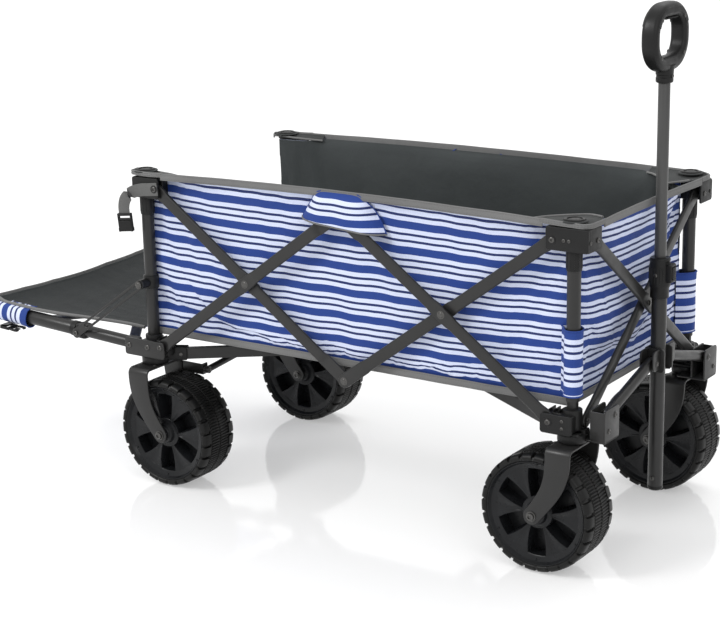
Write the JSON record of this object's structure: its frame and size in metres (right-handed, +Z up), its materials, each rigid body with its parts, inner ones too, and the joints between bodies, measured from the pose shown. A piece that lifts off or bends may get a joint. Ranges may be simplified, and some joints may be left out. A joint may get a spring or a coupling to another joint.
{
  "type": "folding beach cart",
  "caption": "Folding four-wheel cart with scissor frame, striped fabric tub, drop-down rear gate, swivelling front wheels and telescopic pull handle.",
  "frame": {"origin": "middle of the bounding box at the floor", "axes": "+X forward towards the pull handle, +Y to the cart's left, +Z up"},
  "size_m": [1.2998, 0.539, 0.881],
  "materials": {
    "grey_steel": "satin",
    "black_plastic": "matte",
    "wheel_plastic": "matte",
    "striped_cloth": "woven polyester, blue and white stripes",
    "grey_cloth": "woven polyester"
  },
  "bodies": {
    "base_rr": {"corner_rr": "grey_steel", "fork_rr": "grey_steel"},
    "base_fr": {"corner_fr": "grey_steel"},
    "base_rl": {"corner_rl": "grey_steel", "fork_rl": "grey_steel"},
    "base_fl": {"corner_fl": "grey_steel"},
    "caster_fr": {"caster_fork_fr": "grey_steel"},
    "caster_fl": {"caster_fork_fl": "grey_steel"},
    "top_rr": {"top_bracket_rr": "black_plastic", "post_tube_rr": "grey_steel", "tub_wall_right": "striped_cloth"},
    "top_fr": {"top_bracket_fr": "black_plastic", "post_tube_fr": "grey_steel", "tub_wall_front": "striped_cloth"},
    "top_rl": {"top_bracket_rl": "black_plastic", "post_tube_rl": "grey_steel", "tub_wall_left": "striped_cloth"},
    "top_fl": {"top_bracket_fl": "black_plastic", "post_tube_fl": "grey_steel"},
    "handle_outer": {"handle_outer_tube": "grey_steel", "lock_collar": "black_plastic"},
    "handle_inner": {"handle_inner_tube": "grey_steel", "grip": "black_plastic"},
    "gate_tube_right": {"gate_tube_right": "grey_steel", "gate_panel": "grey_cloth"},
    "wheel_rr": {"wheel_rr": "wheel_plastic"},
    "floor_arm_rr": {"floor_arm_rr": "grey_steel"},
    "wheel_fr": {"wheel_fr": "wheel_plastic"},
    "floor_arm_fr": {"floor_arm_fr": "grey_steel"},
    "wheel_rl": {"wheel_rl": "wheel_plastic"},
    "floor_arm_rl": {"floor_arm_rl": "grey_steel"},
    "wheel_fl": {"wheel_fl": "wheel_plastic"},
    "floor_arm_fl": {"floor_arm_fl": "grey_steel"},
    "side_bar_rear_high_right": {"side_bar_rear_high_right": "grey_steel"},
    "side_bar_rear_low_right": {"side_bar_rear_low_right": "grey_steel"},
    "side_bar_front_high_right": {"side_bar_front_high_right": "grey_steel"},
    "side_bar_front_low_right": {"side_bar_front_low_right": "grey_steel"},
    "gate_sleeve_right": {"gate_sleeve_right": "grey_steel"},
    "gate_stay_right": {"gate_stay_right": "grey_steel"},
    "front_link_right": {"front_link_right": "grey_steel"},
    "rear_spreader_right": {"rear_spreader_right": "grey_steel"},
    "tub_floor_right": {"tub_floor_right": "grey_cloth"},
    "side_bar_rear_high_left": {"side_bar_rear_high_left": "grey_steel"},
    "side_bar_rear_low_left": {"side_bar_rear_low_left": "grey_steel"},
    "side_bar_front_high_left": {"side_bar_front_high_left": "grey_steel"},
    "side_bar_front_low_left": {"side_bar_front_low_left": "grey_steel"},
    "gate_sleeve_left": {"gate_sleeve_left": "grey_steel"},
    "gate_stay_left": {"gate_stay_left": "grey_steel"},
    "front_link_left": {"front_link_left": "grey_steel"},
    "rear_spreader_left": {"rear_spreader_left": "grey_steel"},
    "tub_floor_left": {"tub_floor_left": "grey_cloth"},
    "gate_tube_left": {"gate_tube_left": "grey_steel"},
    "front_bar_inner": {"front_bar_inner": "grey_steel"},
    "front_bar_outer": {"front_bar_outer": "grey_steel"},
    "gate_bar_upper": {"gate_bar_upper": "grey_steel"},
    "gate_bar_lower": {"gate_bar_lower": "grey_steel"},
    "handle_hub": {"handle_hub": "black_plastic"},
    "lock_button": {"lock_button": "black_plastic"},
    "floor_hub": {"floor_hub": "black_plastic"}
  },
  "joints": [
    {"name": "frame_fold", "type": "hinge", "parent": "base_rr", "child": "side_bar_rear_low_right", "pos_m": [-0.24264, -0.23, 0.252], "axis": [0, -1, 0], "range_deg": [0, 36], "deforming": ["tub_wall_right", "tub_wall_left", "tub_wall_front", "tub_floor_right", "tub_floor_left", "gate_panel"]},
    {"name": "rear_cross_right", "type": "hinge", "parent": "side_bar_rear_low_right", "child": "side_bar_rear_high_right", "pos_m": [-0.04514, -0.221, 0.397], "axis": [0, -1, 0], "range_deg": [-72.02, 0]},
    {"name": "middle_top_right", "type": "hinge", "parent": "side_bar_rear_low_right", "child": "side_bar_front_low_right", "pos_m": [0.15235, -0.23, 0.542], "axis": [0, -1, 0], "range_deg": [-72.02, 0]},
    {"name": "front_cross_right", "type": "hinge", "parent": "side_bar_front_low_right", "child": "side_bar_front_high_right", "pos_m": [0.34986, -0.221, 0.397], "axis": [0, -1, 0], "range_deg": [0, 72.02]},
    {"name": "front_low_pivot_right", "type": "hinge", "parent": "side_bar_front_low_right", "child": "base_fr", "pos_m": [0.54736, -0.23, 0.252], "axis": [0, -1, 0], "range_deg": [0, 36.02]},
    {"name": "rear_top_pivot_right", "type": "hinge", "parent": "side_bar_rear_high_right", "child": "top_rr", "pos_m": [-0.24264, -0.221, 0.542], "axis": [0, -1, 0], "range_deg": [0, 36.02]},
    {"name": "front_top_pivot_right", "type": "hinge", "parent": "side_bar_front_high_right", "child": "top_fr", "pos_m": [0.54736, -0.221, 0.542], "axis": [0, -1, 0], "range_deg": [-36.02, 0]},
    {"name": "front_bar_pivot", "type": "hinge", "parent": "base_fr", "child": "front_bar_inner", "pos_m": [0.59335, -0.1975, 0.252], "axis": [1, 0, 0], "range_deg": [0, 36.02]},
    {"name": "front_cross", "type": "hinge", "parent": "front_bar_inner", "child": "front_bar_outer", "pos_m": [0.59335, 0, 0.397], "axis": [1, 0, 0], "range_deg": [-72.02, 0]},
    {"name": "front_bar_low_pivot_left", "type": "hinge", "parent": "front_bar_outer", "child": "base_fl", "pos_m": [0.60235, 0.1975, 0.252], "axis": [1, 0, 0], "range_deg": [0, 36.02]},
    {"name": "front_bar_top_pivot_left", "type": "hinge", "parent": "front_bar_inner", "child": "top_fl", "pos_m": [0.59335, 0.1975, 0.542], "axis": [1, 0, 0], "range_deg": [-36.02, 0]},
    {"name": "front_low_pivot_left", "type": "hinge", "parent": "base_fl", "child": "side_bar_front_low_left", "pos_m": [0.54736, 0.23, 0.252], "axis": [0, -1, 0], "range_deg": [-36.02, 0]},
    {"name": "middle_top_left", "type": "hinge", "parent": "side_bar_front_low_left", "child": "side_bar_rear_low_left", "pos_m": [0.15235, 0.23, 0.542], "axis": [0, -1, 0], "range_deg": [0, 72.02]},
    {"name": "front_cross_left", "type": "hinge", "parent": "side_bar_front_low_left", "child": "side_bar_front_high_left", "pos_m": [0.34986, 0.221, 0.397], "axis": [0, -1, 0], "range_deg": [0, 72.02]},
    {"name": "rear_cross_left", "type": "hinge", "parent": "side_bar_rear_low_left", "child": "side_bar_rear_high_left", "pos_m": [-0.04514, 0.221, 0.397], "axis": [0, -1, 0], "range_deg": [-72.02, 0]},
    {"name": "rear_low_pivot_left", "type": "hinge", "parent": "side_bar_rear_low_left", "child": "base_rl", "pos_m": [-0.24264, 0.23, 0.252], "axis": [0, -1, 0], "range_deg": [-36.02, 0]},
    {"name": "rear_top_pivot_left", "type": "hinge", "parent": "side_bar_rear_high_left", "child": "top_rl", "pos_m": [-0.24264, 0.221, 0.542], "axis": [0, -1, 0], "range_deg": [0, 36.02]},
    {"name": "gate_hinge", "type": "hinge", "parent": "base_rr", "child": "gate_tube_right", "pos_m": [-0.30765, -0.2245, 0.252], "axis": [0, 1, 0], "range_deg": [0, 87]},
    {"name": "gate_pivot_right", "type": "hinge", "parent": "gate_tube_right", "child": "gate_bar_upper", "pos_m": [-0.33852, -0.1975, 0.23609], "axis": [0.0523, 0, 0.9986], "range_deg": [0, 36.02]},
    {"name": "gate_cross", "type": "hinge", "parent": "gate_bar_upper", "child": "gate_bar_lower", "pos_m": [-0.48345, 0, 0.24119], "axis": [0.0523, 0, 0.9986], "range_deg": [-72.02, 0]},
    {"name": "gate_pivot_left", "type": "hinge", "parent": "gate_bar_lower", "child": "gate_tube_left", "pos_m": [-0.33899, 0.1975, 0.22711], "axis": [0.0523, 0, 0.9986], "range_deg": [0, 36.02]},
    {"name": "gate_outer_pivot_right", "type": "hinge", "parent": "gate_bar_lower", "child": "gate_sleeve_right", "pos_m": [-0.62859, -0.1975, 0.24228], "axis": [0.0523, 0, 0.9986], "range_deg": [0, 36.02]},
    {"name": "gate_outer_pivot_left", "type": "hinge", "parent": "gate_bar_upper", "child": "gate_sleeve_left", "pos_m": [-0.62812, 0.1975, 0.25127], "axis": [0.0523, 0, 0.9986], "range_deg": [-36.02, 0]},
    {"name": "gate_stay_pivot_right", "type": "hinge", "parent": "gate_tube_right", "child": "gate_stay_right", "pos_m": [-0.43147, -0.245, 0.25849], "axis": [0, 1, 0], "range_deg": [-42.22, 0]},
    {"name": "gate_stay_pivot_left", "type": "hinge", "parent": "gate_tube_left", "child": "gate_stay_left", "pos_m": [-0.43147, 0.245, 0.25849], "axis": [0, 1, 0], "range_deg": [-42.22, 0]},
    {"name": "front_link_pivot_right", "type": "hinge", "parent": "base_fr", "child": "front_link_right", "pos_m": [0.62135, -0.178, 0.262], "axis": [1, 0, 0], "range_deg": [0, 64.17]},
    {"name": "hub_pivot_right", "type": "hinge", "parent": "front_link_right", "child": "handle_hub", "pos_m": [0.62135, -0.027, 0.304], "axis": [1, 0, 0], "range_deg": [-64.17, 0]},
    {"name": "hub_pivot_left", "type": "hinge", "parent": "handle_hub", "child": "front_link_left", "pos_m": [0.62135, 0.027, 0.304], "axis": [1, 0, 0], "range_deg": [-64.17, 0]},
    {"name": "handle_tilt", "type": "hinge", "parent": "handle_hub", "child": "handle_outer", "pos_m": [0.62235, 0, 0.304], "axis": [0, 1, 0], "range_deg": [0, 40]},
    {"name": "handle_slide", "type": "slide", "parent": "handle_outer", "child": "handle_inner", "axis": [0, 0, 1], "range_m": [-0.28, 0]},
    {"name": "lock_button_press", "type": "slide", "parent": "handle_outer", "child": "lock_button", "axis": [-1, 0, 0], "range_m": [0, 0.0018], "stiffness_N_per_m": 400},
    {"name": "spreader_pivot_right", "type": "hinge", "parent": "base_rr", "child": "rear_spreader_right", "pos_m": [-0.18965, -0.158, 0.201], "axis": [1, 0, 0], "range_deg": [0, 72.54]},
    {"name": "spreader_middle", "type": "hinge", "parent": "rear_spreader_right", "child": "rear_spreader_left", "pos_m": [-0.18965, 0, 0.214], "axis": [1, 0, 0], "range_deg": [-145.07, 0]},
    {"name": "floor_arm_pivot_rr", "type": "hinge", "parent": "base_rr", "child": "floor_arm_rr", "pos_m": [-0.22764, -0.19, 0.236], "axis": [0.4472, -0.8944, 0], "range_deg": [0, 74.28]},
    {"name": "floor_arm_pivot_fr", "type": "hinge", "parent": "base_fr", "child": "floor_arm_fr", "pos_m": [0.53236, -0.19, 0.236], "axis": [0.4472, 0.8944, 0], "range_deg": [0, 74.28]},
    {"name": "floor_arm_pivot_rl", "type": "hinge", "parent": "base_rl", "child": "floor_arm_rl", "pos_m": [-0.22764, 0.19, 0.236], "axis": [-0.4472, -0.8944, 0], "range_deg": [0, 74.28]},
    {"name": "floor_arm_pivot_fl", "type": "hinge", "parent": "base_fl", "child": "floor_arm_fl", "pos_m": [0.53236, 0.19, 0.236], "axis": [-0.4472, 0.8944, 0], "range_deg": [0, 74.28]},
    {"name": "floor_hub_pivot", "type": "hinge", "parent": "floor_arm_rr", "child": "floor_hub", "pos_m": [0.08796, -0.0322, 0.25449], "axis": [0.4472, -0.8944, 0], "range_deg": [-74.28, 0]},
    {"name": "floor_fold_right", "type": "hinge", "parent": "floor_hub", "child": "tub_floor_right", "pos_m": [0.15235, 0, 0.272], "axis": [1, 0, 0], "range_deg": [0, 80.02]},
    {"name": "floor_fold_left", "type": "hinge", "parent": "floor_hub", "child": "tub_floor_left", "pos_m": [0.15235, 0, 0.272], "axis": [1, 0, 0], "range_deg": [-80.02, 0]},
    {"name": "caster_swivel_fr", "type": "hinge", "parent": "base_fr", "child": "caster_fr", "pos_m": [0.57735, -0.212, 0.22], "axis": [0, 0, 1], "continuous": true},
    {"name": "caster_swivel_fl", "type": "hinge", "parent": "base_fl", "child": "caster_fl", "pos_m": [0.57735, 0.212, 0.22], "axis": [0, 0, 1], "continuous": true},
    {"name": "wheel_spin_rr", "type": "hinge", "parent": "base_rr", "child": "wheel_rr", "pos_m": [-0.22764, -0.212, 0.1], "axis": [0, 1, 0], "continuous": true},
    {"name": "wheel_spin_fr", "type": "hinge", "parent": "caster_fr", "child": "wheel_fr", "pos_m": [0.53236, -0.212, 0.1], "axis": [0, 1, 0], "continuous": true},
    {"name": "wheel_spin_rl", "type": "hinge", "parent": "base_rl", "child": "wheel_rl", "pos_m": [-0.22764, 0.212, 0.1], "axis": [0, 1, 0], "continuous": true},
    {"name": "wheel_spin_fl", "type": "hinge", "parent": "caster_fl", "child": "wheel_fl", "pos_m": [0.53236, 0.212, 0.1], "axis": [0, 1, 0], "continuous": true}
  ],
  "couplings": [
    {"joint": "rear_cross_right", "follows": "frame_fold", "ratio": -2},
    {"joint": "middle_top_right", "follows": "frame_fold", "ratio": -2},
    {"joint": "front_cross_right", "follows": "frame_fold", "ratio": 2},
    {"joint": "front_low_pivot_right", "follows": "frame_fold", "ratio": 1},
    {"joint": "rear_top_pivot_right", "follows": "frame_fold", "ratio": 1},
    {"joint": "front_top_pivot_right", "follows": "frame_fold", "ratio": -1},
    {"joint": "front_bar_pivot", "follows": "frame_fold", "ratio": 1},
    {"joint": "front_cross", "follows": "frame_fold", "ratio": -2},
    {"joint": "front_bar_low_pivot_left", "follows": "frame_fold", "ratio": 1},
    {"joint": "front_bar_top_pivot_left", "follows": "frame_fold", "ratio": -1},
    {"joint": "front_low_pivot_left", "follows": "frame_fold", "ratio": -1},
    {"joint": "middle_top_left", "follows": "frame_fold", "ratio": 2},
    {"joint": "front_cross_left", "follows": "frame_fold", "ratio": 2},
    {"joint": "rear_cross_left", "follows": "frame_fold", "ratio": -2},
    {"joint": "rear_low_pivot_left", "follows": "frame_fold", "ratio": -1},
    {"joint": "rear_top_pivot_left", "follows": "frame_fold", "ratio": 1},
    {"joint": "gate_pivot_right", "follows": "frame_fold", "ratio": 1},
    {"joint": "gate_cross", "follows": "frame_fold", "ratio": -2},
    {"joint": "gate_pivot_left", "follows": "frame_fold", "ratio": 1},
    {"joint": "gate_outer_pivot_right", "follows": "frame_fold", "ratio": 1},
    {"joint": "gate_outer_pivot_left", "follows": "frame_fold", "ratio": -1},
    {"joint": "gate_stay_pivot_right", "follows": "gate_hinge", "ratio": -0.48507},
    {"joint": "gate_stay_pivot_left", "follows": "gate_hinge", "ratio": -0.48507},
    {"joint": "front_link_pivot_right", "follows": "frame_fold", "ratio": 1.7818},
    {"joint": "hub_pivot_right", "follows": "frame_fold", "ratio": -1.7818},
    {"joint": "hub_pivot_left", "follows": "frame_fold", "ratio": -1.7818},
    {"joint": "spreader_pivot_right", "follows": "frame_fold", "ratio": 2.0145},
    {"joint": "spreader_middle", "follows": "frame_fold", "ratio": -4.029},
    {"joint": "floor_arm_pivot_rr", "follows": "frame_fold", "ratio": 2.0627},
    {"joint": "floor_arm_pivot_fr", "follows": "frame_fold", "ratio": 2.0627},
    {"joint": "floor_arm_pivot_rl", "follows": "frame_fold", "ratio": 2.0627},
    {"joint": "floor_arm_pivot_fl", "follows": "frame_fold", "ratio": 2.0627},
    {"joint": "floor_hub_pivot", "follows": "frame_fold", "ratio": -2.0627},
    {"joint": "floor_fold_right", "follows": "frame_fold", "ratio": 2.2222},
    {"joint": "floor_fold_left", "follows": "frame_fold", "ratio": -2.2222}
  ]
}
